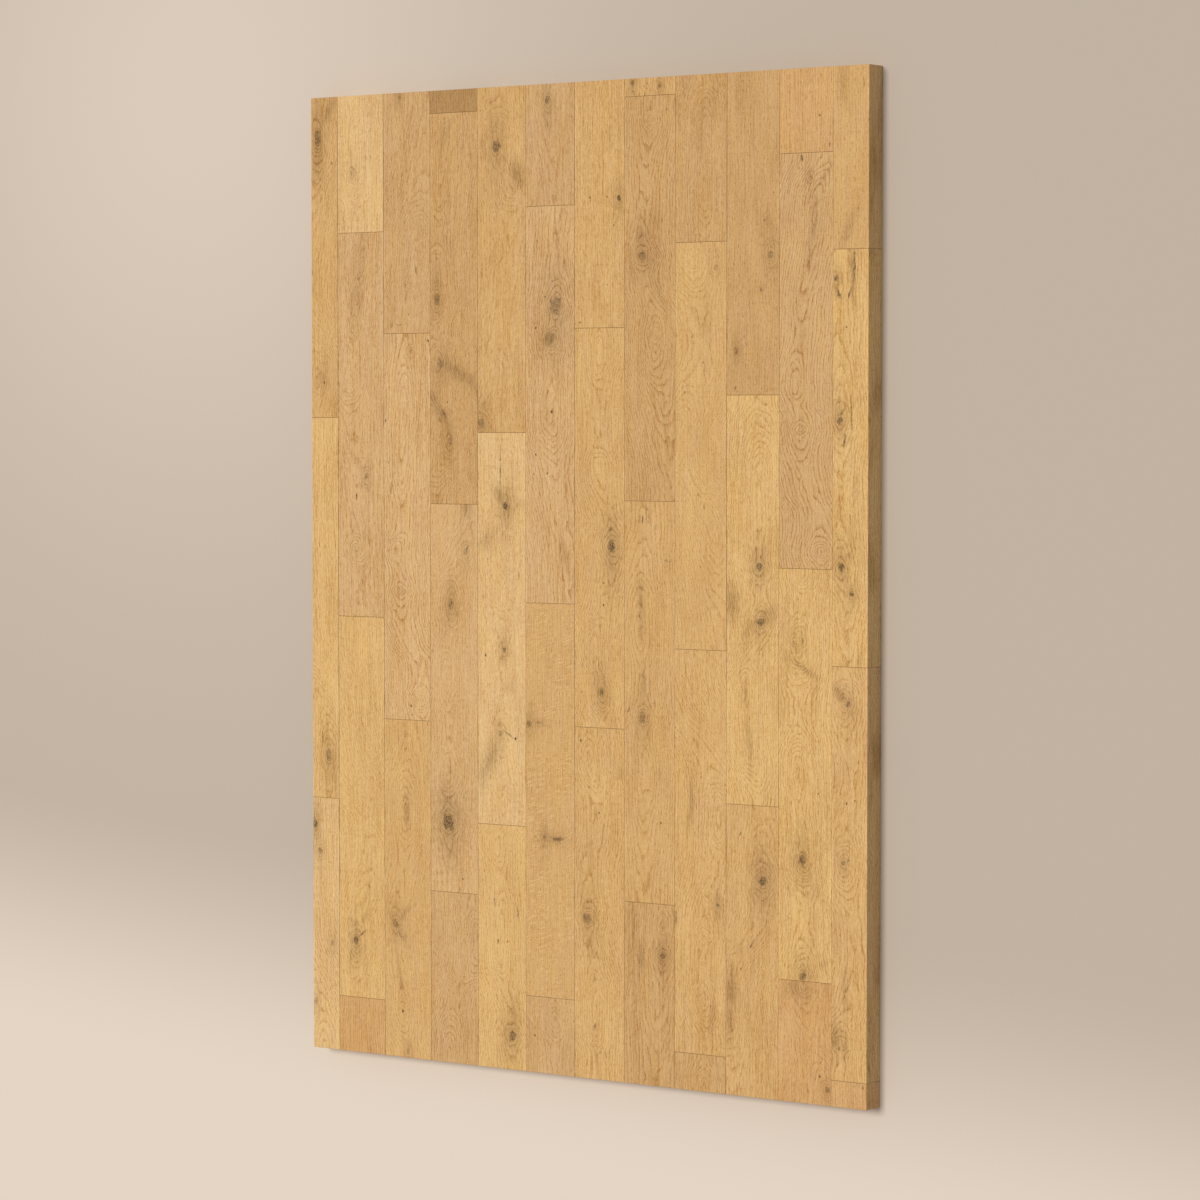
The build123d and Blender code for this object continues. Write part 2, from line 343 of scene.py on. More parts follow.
lay(12, 3, "gold",
    figured((12, 0, 16), *eye(14, 30, 8, 1.5), (20, 90, 16), (14, 140, 14), *eye(13, 169, 6, 1.3),
            (24, 230, 18), (20, 290, 14), *eye(10, 328, 9, 1.3), ring=2.4),
    stain(10, 26, 14, 5, 0.8, 50), heart_knot(16, 32, 2.8, 1.2, 0.65), pin(15, 118),
    pin(23.5, 115.5, 0.8), heart_knot(12, 170, 2.6, 1.2, 0.6), pin(17, 167, 1.3),
    stain(12, 170, 8, 5, 0.4), stain(5, 323, 13, 6, 0.8), stain(14, 330, 10, 4, 0.55, -8),
    pin(8, 332, 1.1), pin(13, 333, 0.6), pin(18, 333, 0.6), stain(14, 280, 14, 4, 0.35))
lay(12, 4, "amber", straight(-40, 2.6, 0.5),
    pin(32, 3.5, 1.1))


# Settings that a user would change

def colour_setting(name, description, screen_colour):
    """A colour property whose default is a screen colour."""
    return bpy.props.FloatVectorProperty(
        name=name, description=description, subtype="COLOR", size=3, min=0.0, max=1.0,
        default=from_screen(*screen_colour))


class ParquetOakSettings(bpy.types.PropertyGroup):
    """Tones and finish of the oak."""
    straw: colour_setting("Straw", "Palest strips", (231, 193, 135))
    beige: colour_setting("Beige", "Pale, cooler strips", (222, 182, 127))
    wheat: colour_setting("Wheat", "Pale, yellower strips", (228, 187, 123))
    gold: colour_setting("Gold", "Bright yellow strips", (222, 180, 119))
    honey: colour_setting("Honey", "Middle strips", (219, 177, 117))
    tan: colour_setting("Tan", "Middle, cooler strips", (219, 179, 125))
    rose: colour_setting("Rose", "Pinkish strips", (214, 174, 120))
    amber: colour_setting("Amber", "Orange strips", (217, 172, 114))
    brown: colour_setting("Brown", "Browner strips", (211, 169, 112))
    umber: colour_setting("Umber", "Darkest offcuts", (184, 143, 91))
    deep_share: bpy.props.FloatVectorProperty(
        name="Grain tint", description="Share of a strip's tone that its dark grain keeps",
        subtype="COLOR", size=3, min=0.0, max=1.0, default=(0.56, 0.40, 0.20))
    sawn_share: bpy.props.FloatVectorProperty(
        name="Sawn tint", description="Share of its tone that sawn wood keeps on the sides and underside",
        subtype="COLOR", size=3, min=0.0, max=2.0, default=(0.94, 1.06, 1.3))
    knot: colour_setting("Knot", "Wood inside a knot", (128, 98, 60))
    knot_heart: colour_setting("Knot heart", "Cracks and specks inside a knot", (52, 38, 22))
    joint: colour_setting("Joint", "Shadow and dust in the joints", (110, 84, 52))
    pores: bpy.props.FloatProperty(
        name="Pores", description="How clearly the open pores show", subtype="FACTOR",
        default=0.6, min=0.0, max=1.0)
    sheen_off: bpy.props.FloatProperty(
        name="Roughness", description="Roughness of the oiled face", subtype="FACTOR",
        default=0.6, min=0.1, max=1.0)


class ParquetStageSettings(bpy.types.PropertyGroup):
    """Floor, light and camera."""
    # The floor's two tones paint light and shade on it: lit in front of the panel, dim behind it
    floor: colour_setting("Floor", "Colour of the pale floor in front of the panel", (226, 210, 193))
    floor_far: colour_setting("Far floor", "Colour of the pale floor behind the panel", (188, 173, 156))
    floor_size: bpy.props.FloatProperty(
        name="Floor size", description="Side of the square floor", subtype="DISTANCE", unit="LENGTH",
        default=40.0)
    sky: bpy.props.FloatProperty(
        name="Sky", description="Strength of the light from all round", subtype="FACTOR",
        default=0.34, min=0.0, max=1.0)
    lamp_level: bpy.props.FloatProperty(
        name="Lamp level", description="Share of the face's light that the soft lamp gives",
        subtype="FACTOR", default=0.7, min=0.0, max=1.0)
    lamp_from: bpy.props.FloatVectorProperty(
        name="Lamp from", description="Direction that the soft light comes from", subtype="DIRECTION",
        size=3, default=(-0.12, 0.22, 0.97))
    lamp_angle: bpy.props.FloatProperty(
        name="Lamp angle", description="How wide the soft light looks", subtype="ANGLE", unit="ROTATION",
        default=math.radians(24))
    eye: bpy.props.FloatVectorProperty(
        name="Eye", description="Where the camera stands", subtype="TRANSLATION", unit="LENGTH",
        size=3, default=(2.1317, 0.1395, 2.9687))
    target: bpy.props.FloatVectorProperty(
        name="Target", description="What the camera looks at", subtype="TRANSLATION", unit="LENGTH",
        size=3, default=(0.0262, -0.0155, 0.022))
    lens: bpy.props.FloatProperty(
        name="Lens", description="Focal length on a 36 mm sensor", subtype="DISTANCE_CAMERA",
        default=120.8)


# Node formulas

class Value:
    """A number or vector that varies over the surface; arithmetic on it adds nodes to its tree."""

    def __init__(self, tree, socket):
        self.tree = tree
        self.socket = socket

    def math(self, operation, *others):
        """The Math node that takes this value first."""
        node = self.tree.nodes.new("ShaderNodeMath")
        node.operation = operation
        for socket, value in zip(node.inputs, (self, *others)):
            feed(self.tree, socket, value)
        return Value(self.tree, node.outputs[0])

    def __add__(self, other):
        return self.math("ADD", other)

    def __sub__(self, other):
        return self.math("SUBTRACT", other)

    def __rsub__(self, other):
        return self.math("MULTIPLY_ADD", -1.0, other)

    def __mul__(self, other):
        return self.math("MULTIPLY", other)

    def __truediv__(self, other):
        return self.math("DIVIDE", other)

    def __pow__(self, other):
        return self.math("POWER", other)

    __radd__ = __add__
    __rmul__ = __mul__


def feed(tree, socket, value):
    """Links a value to a socket, or sets a plain number, vector or colour on it."""
    if isinstance(value, Value):
        tree.links.new(value.socket, socket)
    else:
        socket.default_value = value


def add_node(tree, kind, inputs, output=0, **settings):
    """Adds a node with its settings and inputs, and gives one of its outputs."""
    node = tree.nodes.new(kind)
    for name, setting in settings.items():
        setattr(node, name, setting)
    for key, value in inputs.items():
        feed(tree, node.inputs[key], value)
    return Value(tree, node.outputs[output])


def split(place):
    """The three numbers of a vector."""
    node = place.tree.nodes.new("ShaderNodeSeparateXYZ")
    feed(place.tree, node.inputs[0], place)
    return [Value(place.tree, socket) for socket in node.outputs]


def join(tree, across, down, deep):
    """A vector of three numbers."""
    return add_node(tree, "ShaderNodeCombineXYZ", {0: across, 1: down, 2: deep})


def smooth(value, low, high):
    """0 below low, 1 above high, and a soft step between."""
    return add_node(value.tree, "ShaderNodeMapRange", {"Value": value, "From Min": low, "From Max": high},
                    interpolation_type="SMOOTHSTEP")


def bell(value):
    """1 at 0, falling off softly on both sides."""
    return (value * value * -1.0).math("EXPONENT")


def blend(factor, first, second, mode="MIX"):
    """One colour laid over another."""
    return add_node(factor.tree, "ShaderNodeMix", {0: factor, 6: first, 7: second}, output=2,
                    data_type="RGBA", blend_type=mode, clamp_factor=True)


def tint(factor, colour, shares):
    """A colour of which only shares are kept."""
    return blend(factor, colour, shares, "MULTIPLY")


# Sockets of the node groups that don't carry plain numbers
SOCKETS = {"place": "NodeSocketVector", "plain": "NodeSocketVector", "light": "NodeSocketColor",
           "deep": "NodeSocketColor", "colour": "NodeSocketColor"}


def open_group(title, inputs, outputs):
    """A new shader node group, its inputs by name, and a function that sets its outputs."""
    group = bpy.data.node_groups.new(title, "ShaderNodeTree")
    for side, names in (("INPUT", inputs), ("OUTPUT", outputs)):
        for name in names:
            kind = SOCKETS.get(name, "NodeSocketFloat")
            group.interface.new_socket(name, in_out=side, socket_type=kind)
    start = group.nodes.new("NodeGroupInput")
    end = group.nodes.new("NodeGroupOutput")
    given = SimpleNamespace(**{name: Value(group, start.outputs[name]) for name in inputs})

    def give(**results):
        for name in outputs:
            feed(group, end.inputs[name], results[name])

    return group, given, give


def place_group(tree, group, values):
    """Puts a group into a tree and gives its outputs by name."""
    node = tree.nodes.new("ShaderNodeGroup")
    node.node_tree = group
    for name, value in values.items():
        feed(tree, node.inputs[name], value)
    return {socket.name: Value(tree, socket) for socket in node.outputs}


# Textures of the wood

class Texture(NamedTuple):
    """A noise whose features have this size across, down and deep, in millimetres.

    Its depth is how far it moves the wood from its light tone towards its deep one. With fades it shows
    as spots: none where the noise is below the first value, full above the second.
    """
    size: tuple
    seed_step: float = 0.0
    detail: float = 2.0
    roughness: float = 0.5
    depth: float = 0.0
    fades: tuple = ()


# So large that a texture doesn't change that way
ENDLESS = 1e6

KNOT_EDGE = Texture((4, 6, 30), detail=3.0)
KNOT_WARP = Texture((14, 20, 30), 7.0, detail=1.0)
KNOT_SPECKS = Texture((1.6, 2.2, 1.6), 83.0, detail=3.0, fades=(0.40, 0.66))
STREAK_EDGE = Texture((1.8, 6, 30), detail=3.0)
HEART_SWAY = Texture((ENDLESS, 45, ENDLESS))
RING_BUCKLE = Texture((13, 32, 13), 29.0)
RING_CRINKLE = Texture((3.5, 8, 3.5), 41.0)
RING_BREAKS = Texture((2.0, 12, 2.0), 5.0, fades=(0.34, 0.66))
YEAR_WIDTH = Texture((3, ENDLESS, ENDLESS), 53.0, detail=1.0)
YEAR_TONE = Texture((1.5, ENDLESS, ENDLESS), 61.0, detail=1.0, depth=0.2)
JOINT_DUST = Texture((12, 40, ENDLESS), fades=(0.35, 0.65))
FIBRE = Texture((2.5, 80, 2.5), 3.0, depth=0.4)
LINES = Texture((0.8, 36, 0.8), 7.0, detail=1.0, depth=0.7)
FINE = Texture((0.7, 5, 0.7), 11.0, detail=3.0, roughness=0.65, depth=1.25)
GRIT = Texture((0.8, 1.6, 0.8), 13.0, detail=1.0, depth=0.7)
PORES = Texture((0.6, 5, 0.6), 23.0, detail=1.0, depth=0.25, fades=(0.55, 0.68))
HAIRS = Texture((0.5, 2.5, 0.5), 31.0, detail=1.0, depth=0.4, fades=(0.52, 0.70))
MOTTLE = Texture((26, 70, 26), 47.0, depth=0.5)
TINGE = Texture((14, 60, 14), 97.0, detail=4.0, roughness=0.65)
RAYS = Texture((11, 1.3, 11), 71.0, fades=(0.52, 0.62))


def sample(place, texture, seed):
    """A texture's value at a place, from 0 to 1."""
    tree = place.tree
    scale = tuple(1.0 / side for side in texture.size)
    own_seed = seed + texture.seed_step if texture.seed_step else seed
    moved = add_node(tree, "ShaderNodeVectorMath", {0: place, 1: scale, 2: own_seed},
                     operation="MULTIPLY_ADD")
    value = add_node(tree, "ShaderNodeTexNoise", {
        "Vector": moved, "Scale": 1.0, "Detail": texture.detail, "Roughness": texture.roughness})
    return smooth(value, *texture.fades) if texture.fades else value


# Node groups shared by all strips

# A knot: how ragged its edge is, and where its dark wood fades out, in radii
KNOT_RAGGED = 1.8
KNOT_FADES = (0.55, 1.05)

# How far round a knot the grain parts, its own rings reach and its toasted rim reaches, in radii
KNOT_PARTING = 2.0
KNOT_RINGS = 3.2
KNOT_RIM = 2.4

# Its rings' width in millimetres, where they fade in, and how strong and how drawn out its rim is
KNOT_RING_WIDTH = 2.2
KNOT_RING_FADES = (0.3, 0.6)
KNOT_RIM_STRENGTH = 0.75
KNOT_RIM_DRAWN = 0.25


def knot_group():
    """Parts the grain round a knot, draws its own rings and darkens its wood."""
    group, given, give = open_group(
        "Oak knot",
        ("place", "core", "halo", "ripple", "around", "across", "down", "radius", "stretch", "dark",
         "whorl", "pull", "seed"),
        ("place", "core", "halo", "ripple", "around"))
    across, down, deep = split(given.place)
    off_across = across - given.across
    reach = (down - given.down) / given.stretch
    ragged = 1.0 + KNOT_RAGGED * (sample(given.place, KNOT_EDGE, given.seed) - 0.5)
    warped = 0.5 + sample(given.place, KNOT_WARP, given.seed)
    span = (off_across * off_across + reach * reach) ** 0.5 / given.radius
    drawn_span = (off_across * off_across + reach * reach * KNOT_RIM_DRAWN) ** 0.5 / given.radius
    even_span = span * warped
    parted = given.across + off_across * (1.0 - given.pull * bell(even_span / KNOT_PARTING))
    ring = (even_span * given.radius / KNOT_RING_WIDTH).math("FRACT")
    around = smooth(bell(even_span / KNOT_RINGS), *KNOT_RING_FADES) * given.whorl
    core = (1.0 - smooth(span * ragged, *KNOT_FADES)) * given.dark
    halo = bell(drawn_span * ragged / KNOT_RIM) * given.dark * KNOT_RIM_STRENGTH
    give(place=join(group, parted, down, deep),
         core=core.math("MAXIMUM", given.core),
         halo=halo.math("MAXIMUM", given.halo),
         ripple=given.ripple + around * (ring - given.ripple),
         around=around.math("MAXIMUM", given.around))
    return group


# A crack or stain: how ragged it is, where a crack fades out, and how fast a stain does, in half widths
STREAK_RAGGED = 1.8
CRACK_FADES = (0.35, 1.0)
STAIN_FALL = 0.9


def streak_group():
    """A crack or a stain with ragged ends."""
    group, given, give = open_group(
        "Oak streak",
        ("place", "core", "halo", "across", "down", "half_length", "half_width", "lean", "dark", "tint",
         "seed"),
        ("core", "halo"))
    across, down, _ = split(given.place)
    off_across = across - given.across
    off_down = down - given.down
    lean_across = given.lean.math("SINE")
    lean_down = given.lean.math("COSINE")
    ragged = STREAK_RAGGED * (sample(given.place, STREAK_EDGE, given.seed) - 0.5)
    along = (off_down * lean_down + off_across * lean_across) / given.half_length
    beside = (off_across * lean_down - off_down * lean_across) / given.half_width
    distance = (along * along + beside * beside) ** 0.5 + ragged
    core = (1.0 - smooth(distance, *CRACK_FADES)) * given.dark
    halo = bell(distance * STAIN_FALL) * given.tint
    give(core=core.math("MAXIMUM", given.core),
         halo=halo.math("MAXIMUM", given.halo))
    return group


# How far the heart sways, and its rings buckle and crinkle, in millimetres
HEART_SWAYS = 5.0
RINGS_BUCKLE = 6.0
RINGS_CRINKLE = 1.0

# How much the years' rings differ in width, and how far the heart's plainer wood reaches
YEARS_DIFFER = 1.2
HEART_REACH = 7.0


def ring_group():
    """Growth rings round the heart: the part of its year, that year's tone, and nearness to the heart."""
    group, given, give = open_group(
        "Oak growth rings",
        ("place", "heart_across", "heart_deep", "ring", "seed"),
        ("part", "year", "near"))
    place, seed = given.place, given.seed
    across, _, deep = split(place)
    sway = HEART_SWAYS * (sample(place, HEART_SWAY, seed) - 0.5)
    buckle = RINGS_BUCKLE * (sample(place, RING_BUCKLE, seed) - 0.5)
    crinkle = RINGS_CRINKLE * (sample(place, RING_CRINKLE, seed) - 0.5)
    beside = across - given.heart_across - sway
    under = deep + given.heart_deep
    radius = (beside * beside + under * under) ** 0.5
    years = (radius + buckle + crinkle) / given.ring
    years = years + YEARS_DIFFER * (sample(join(group, years, seed, 0.0), YEAR_WIDTH, seed) - 0.5)
    give(part=years.math("FRACT"),
         year=sample(join(group, years, seed, 0.0), YEAR_TONE, seed),
         near=bell(radius / HEART_REACH))
    return group


# Where a joint's shadow fades out beside an edge, and a painted highlight's place and width, in
# millimetres
JOINT_FADES = (0.05, 0.45)
RIM_HIGHLIGHT_PLACE = 0.8
RIM_HIGHLIGHT_WIDTH = 0.4

# Share of a long joint's shadow that is left where no dust lies in it
CLEAN_JOINT = 0.5


def gap_line(distance):
    """The dark gap beside an edge."""
    return 1.0 - smooth(distance, *JOINT_FADES)


def joint_group():
    """The dark line along the edges that meet another strip, and the painted highlight beside its long
    edges.
    """
    group, given, give = open_group(
        "Strip joint",
        ("place", "width", "length", "left", "right", "upper", "lower", "seed"),
        ("joint", "worn"))
    across, down, _ = split(given.place)
    from_left = across.math("ABSOLUTE")
    from_right = (given.width - across).math("ABSOLUTE")
    from_upper = down.math("ABSOLUTE")
    from_lower = (given.length - down).math("ABSOLUTE")
    dust = sample(given.place, JOINT_DUST, given.seed)
    sides = (gap_line(from_left) * given.left).math("MAXIMUM", gap_line(from_right) * given.right)
    ends = (gap_line(from_upper) * given.upper).math("MAXIMUM", gap_line(from_lower) * given.lower)
    # Painted highlight: a pale line a little in from each long edge, where its bevel would catch the
    # light, weaker where dust lies
    rim = bell((from_left.math("MINIMUM", from_right) - RIM_HIGHLIGHT_PLACE) / RIM_HIGHLIGHT_WIDTH)
    give(joint=(sides * (CLEAN_JOINT + dust)).math("MAXIMUM", ends), worn=rim * (1.0 - dust))
    return group


# How deep in tone plain wood is, and a ring's line, its pores, its loss near the heart, and a knot's rings
PLAIN_DEPTH = 0.25
RING_DEPTH = 0.68
RING_PORE_DEPTH = 0.7
HEART_LOSS = 0.15
KNOT_RING_DEPTH = 0.25

# How fast a ring's line fades, where in its year the next one begins, and the share that its breaks leave
RING_FALL = 5.0
RING_BEGINS = (0.9, 1.0)
RING_KEPT = 0.3

# How much lighter the wood between the lines is
RING_LIFT = 0.12

# How strongly a stain shows on plain wood, and how much more on ring lines and on fine grain
TOAST = {"plain": 0.4, "ring": 0.5, "fine": 0.8}

# How dark a knot is and how much of the wood it hides, and how much more at its specks
KNOT_DARK = {"plain": 0.05, "speck": 0.75}
KNOT_HIDES = {"plain": 0.65, "speck": 0.45}
JOINT_HIDES = 0.8

# Tints that the wood's colour is multiplied by
WARM_TINGE = (1.06, 1.0, 0.6, 1.0)
COOL_TINGE = (0.94, 1.0, 1.4, 1.0)
RAY_TINT = (1.16, 1.22, 1.34, 1.0)
TOAST_TINT = (0.50, 0.44, 0.36, 1.0)
# Lightens the wood beside the long edges: a painted highlight
RIM_HIGHLIGHT_TINT = (1.12, 1.16, 1.24, 1.0)
SAWN_MOTTLE_TINT = (0.80, 0.76, 0.70, 1.0)

# Where the mottle lets rays show and darkens sawn wood, and how deep below the face the wood is sawn
RAY_FADES = (0.40, 0.58)
SAWN_MOTTLE_FADES = (0.50, 0.72)
SAWN_FADES = (0.4, 1.4)

# How far the rays slant for each millimetre across
RAY_SLANT = 0.3

# How much rougher each thing makes the face, and how deep it lies below the face in millimetres
ROUGHER = {"pores": 0.16, "sawn": 0.2, "fine": 0.1, "joint": 0.2, "ray": -0.08}
SUNK = {"pores": -0.05, "hairs": -0.02, "ring": -0.03, "speck": -0.12}


def ring_line(part):
    """The dark pore line that opens each year: sharp at its start, then fading."""
    return ((1.0 - part) ** RING_FALL).math("MAXIMUM", smooth(part, *RING_BEGINS))


def oak_group(settings):
    """Colour, roughness and height of oiled oak."""
    group, given, give = open_group(
        "Oak face",
        ("place", "plain", "part", "year", "near", "ripple", "around", "core", "halo", "joint", "worn",
         "light", "deep", "contrast", "flecks", "seed"),
        ("colour", "roughness", "height"))
    place, plain, seed, around = given.place, given.plain, given.seed, given.around

    # The grain's lines and textures
    year_band = ring_line(given.part)
    band = year_band + around.math("MINIMUM", 1.0) * (ring_line(given.ripple) - year_band)
    unbroken = RING_KEPT + (1.0 - RING_KEPT) * sample(place, RING_BREAKS, seed)
    drawn = given.contrast * (RING_DEPTH - HEART_LOSS * given.near) + KNOT_RING_DEPTH * around
    fine = sample(place, FINE, seed)
    pores = sample(place, PORES, seed)
    hairs = sample(place, HAIRS, seed)
    mottle = sample(plain, MOTTLE, seed)
    tinge = sample(plain, TINGE, seed)
    share = (PLAIN_DEPTH + FINE.depth * (fine - 0.5) + MOTTLE.depth * (mottle - 0.5)
             + drawn * (band * unbroken - RING_LIFT + YEAR_TONE.depth * (given.year - 0.5))
             + settings.pores * (pores * (PORES.depth + RING_PORE_DEPTH * band) + HAIRS.depth * hairs))
    for texture in (FIBRE, LINES, GRIT):
        share = share + texture.depth * (sample(place, texture, seed) - 0.5)
    colour = blend(share, given.light, given.deep)
    colour = tint(tinge - 0.5, colour, WARM_TINGE)
    colour = tint(0.5 - tinge, colour, COOL_TINGE)

    # Rays, stains and knots
    across, down, deep = split(plain)
    slanted = join(group, across, down + RAY_SLANT * across, deep)
    ray = sample(slanted, RAYS, seed) * given.flecks
    colour = tint(ray * smooth(mottle, *RAY_FADES), colour, RAY_TINT)
    toast = given.halo * (TOAST["plain"] + TOAST["ring"] * band + TOAST["fine"] * fine)
    colour = tint(toast, colour, TOAST_TINT)
    specks = sample(plain, KNOT_SPECKS, seed)
    dark = KNOT_DARK["plain"] + KNOT_DARK["speck"] * specks
    heart = blend(dark, (*settings.knot, 1.0), (*settings.knot_heart, 1.0))
    colour = blend(given.core * (KNOT_HIDES["plain"] + KNOT_HIDES["speck"] * specks), colour, heart)

    # Painted highlights beside the long edges, sawn sides and joints
    colour = tint(given.worn, colour, RIM_HIGHLIGHT_TINT)
    sawn = smooth(deep, *SAWN_FADES)
    colour = tint(sawn, colour, (*settings.sawn_share, 1.0))
    colour = tint(sawn * smooth(mottle, *SAWN_MOTTLE_FADES), colour, SAWN_MOTTLE_TINT)
    colour = blend(given.joint * JOINT_HIDES, colour, (*settings.joint, 1.0))

    roughness = (settings.sheen_off + ROUGHER["pores"] * pores + ROUGHER["sawn"] * sawn
                 + ROUGHER["fine"] * (fine - 0.5) + ROUGHER["joint"] * given.joint
                 + ROUGHER["ray"] * ray)
    height = (SUNK["pores"] * pores + SUNK["hairs"] * hairs + SUNK["ring"] * drawn * band
              + SUNK["speck"] * given.core * specks)
    give(colour=colour, roughness=roughness, height=height)
    return group


# Strips

def face_edges(node):
    """Left, right, lower and upper edge of a strip's face, in metres, and the face's height."""
    corners = [vertex.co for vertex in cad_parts[node].data.vertices]
    top = max(corner.z for corner in corners)
    rim = [corner for corner in corners if corner.z > top - MM]
    xs = [corner.x for corner in rim]
    ys = [corner.y for corner in rim]
    return min(xs), max(xs), min(ys), max(ys), top


# What each kind of mark takes from the marks before it and hands on
CARRIED = {"knot": ("core", "halo", "ripple", "around"), "streak": ("core", "halo")}

# Steps between the seeds of two strips, and of two marks on a strip
STRIP_SEED_STEP = 13.7
MARK_SEED_STEP = 5.3

# How dark the long joints are, from the panel's left edge to its right edge, and the end joints
LONG_JOINTS = (0.0, 1.1, 0.95, 0.6, 0.7, 0.4, 0.8, 0.45, 0.4, 0.75, 0.55, 0.2, 0.0)
END_JOINT = 0.7

# How far past a strip's ends its heart's points may lie, and how far aside and how deep they may
HEART_MARGIN = 60.0
HEART_ASIDE = (-100.0, 100.0)
HEART_DEEP = (0.0, 60.0)

# How shiny the oiled face is, and how much its pores catch the light
OIL_SHINE = 0.22
BUMP_STRENGTH = 0.25


def curve_along(down, length, points, low, high):
    """A number that runs smoothly through (down, number) points, with a kink where it is zero."""
    tree = down.tree
    span = length + 2 * HEART_MARGIN
    spots = sorted(
        ((spot + HEART_MARGIN) / span, (number - low) / (high - low)) for spot, number in points)
    zero = -low / (high - low)
    node = tree.nodes.new("ShaderNodeFloatCurve")
    curve = node.mapping.curves[0]
    curve.points[0].location = (0.0, spots[0][1])
    curve.points[1].location = (1.0, spots[-1][1])
    for spot in spots:
        curve.points.new(*spot)
    node.mapping.update()
    for point in curve.points:
        point.handle_type = "VECTOR" if abs(point.location.y - zero) < 1e-6 else "AUTO_CLAMPED"
    node.mapping.update()
    feed(tree, node.inputs["Value"], (down + HEART_MARGIN) / span)
    return Value(tree, node.outputs[0]) * (high - low) + low


def lay_marks(tree, plain, marks, seed, groups):
    """Chains a strip's knots and streaks: the place with the grain parted, and what the marks darken."""
    state = {"place": plain, "core": 0.0, "halo": 0.0, "ripple": 0.0, "around": 0.0}
    for number, mark in enumerate(marks):
        own = {**mark._asdict(), "seed": seed + MARK_SEED_STEP * number, "place": state["place"]}
        kind = type(mark).__name__.lower()
        if kind == "streak":
            own.update(lean=math.radians(mark.lean), place=plain)
        carried = {name: state[name] for name in CARRIED[kind]}
        state.update(place_group(tree, groups[kind], {**carried, **own}))
    return state


def strip_material(node, strip, seed, groups, settings):
    """The oak of one strip, placed on it from its upper left corner."""
    left, right, lower, upper, top = face_edges(node)
    low, high = CAD_BOX
    row = int(node.split("_")[1])
    width = (right - left) / MM
    length = (upper - lower) / MM
    grain = strip.grain
    material = bpy.data.materials.new(f"oak_{node}")
    material.use_nodes = True
    tree = material.node_tree
    tree.nodes.clear()
    spot = add_node(tree, "ShaderNodeTexCoord", {}, output="Object")
    plain = add_node(tree, "ShaderNodeMapping", {
        "Vector": spot, "Location": (-left / MM, upper / MM, top / MM),
        "Scale": (1 / MM, -1 / MM, -1 / MM)})
    state = lay_marks(tree, plain, strip.marks, seed, groups)
    _, down, _ = split(plain)
    aside = [(point[1], point[0]) for point in grain.heart]
    depths = [(point[1], point[2]) for point in grain.heart]
    rings = place_group(tree, groups["ring"], {
        "place": state["place"], "ring": grain.ring, "seed": seed,
        "heart_across": curve_along(down, length, aside, *HEART_ASIDE),
        "heart_deep": curve_along(down, length, depths, *HEART_DEEP)})
    joint = place_group(tree, groups["joint"], {
        "place": plain, "seed": seed, "width": width, "length": length,
        "left": LONG_JOINTS[row - 1], "right": LONG_JOINTS[row],
        "upper": 0.0 if upper > high[1] - MM else END_JOINT,
        "lower": 0.0 if lower < low[1] + MM else END_JOINT})
    light = tuple(getattr(settings, strip.tone))
    deep = tuple(share * part for share, part in zip(light, settings.deep_share))
    face = place_group(tree, groups["oak"], {
        **state, **rings, **joint, "plain": plain, "light": (*light, 1.0), "deep": (*deep, 1.0),
        "contrast": grain.contrast, "flecks": grain.flecks, "seed": seed})
    bump = add_node(tree, "ShaderNodeBump", {
        "Height": face["height"], "Distance": MM, "Strength": BUMP_STRENGTH}, output="Normal")
    shader = add_node(tree, "ShaderNodeBsdfPrincipled", {
        "Base Color": face["colour"], "Roughness": face["roughness"], "Normal": bump,
        "Specular IOR Level": OIL_SHINE})
    end = tree.nodes.new("ShaderNodeOutputMaterial")
    feed(tree, end.inputs["Surface"], shader)
    return material


class PARQUET_OT_oak_strips(bpy.types.Operator):
    """Give every strip of the panel its own oak"""
    bl_idname = "parquet.oak_strips"
    bl_label = "Finish the oak strips"

    def execute(self, context):
        settings = context.scene.parquet_oak
        groups = {"knot": knot_group(), "streak": streak_group(), "ring": ring_group(),
                  "joint": joint_group(), "oak": oak_group(settings)}
        missing = set(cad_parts) ^ set(STRIPS)
        if missing:
            raise RuntimeError(f"strips and solids don't match: {sorted(missing)}")
        for number, (node, strip) in enumerate(STRIPS.items()):
            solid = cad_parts[node]
            solid.data.materials.clear()
            seed = STRIP_SEED_STEP * (number + 1)
            solid.data.materials.append(strip_material(node, strip, seed, groups, settings))
        return {"FINISHED"}


# Stage

# Painted light and shade on the floor: where it turns from its dim far tone to its lit near one, and the
# pale pool of painted light beside the panel, in metres
FLOOR_LIGHTENS = (-0.26, -0.54)
FLOOR_SLANT = 0.09
NEAR_STRENGTH = 0.94
POOL_MIDDLE = (-0.47, 0.47)
POOL_REACH = (0.41, 0.42)
POOL_STRENGTH = 0.65
FLOOR_ROUGHNESS = 0.85

# How far off the lamp hangs, the camera's sensor in millimetres, and how far the camera sees
LAMP_DISTANCE = 3.0
SENSOR_WIDTH = 36.0
SIGHT = 200.0


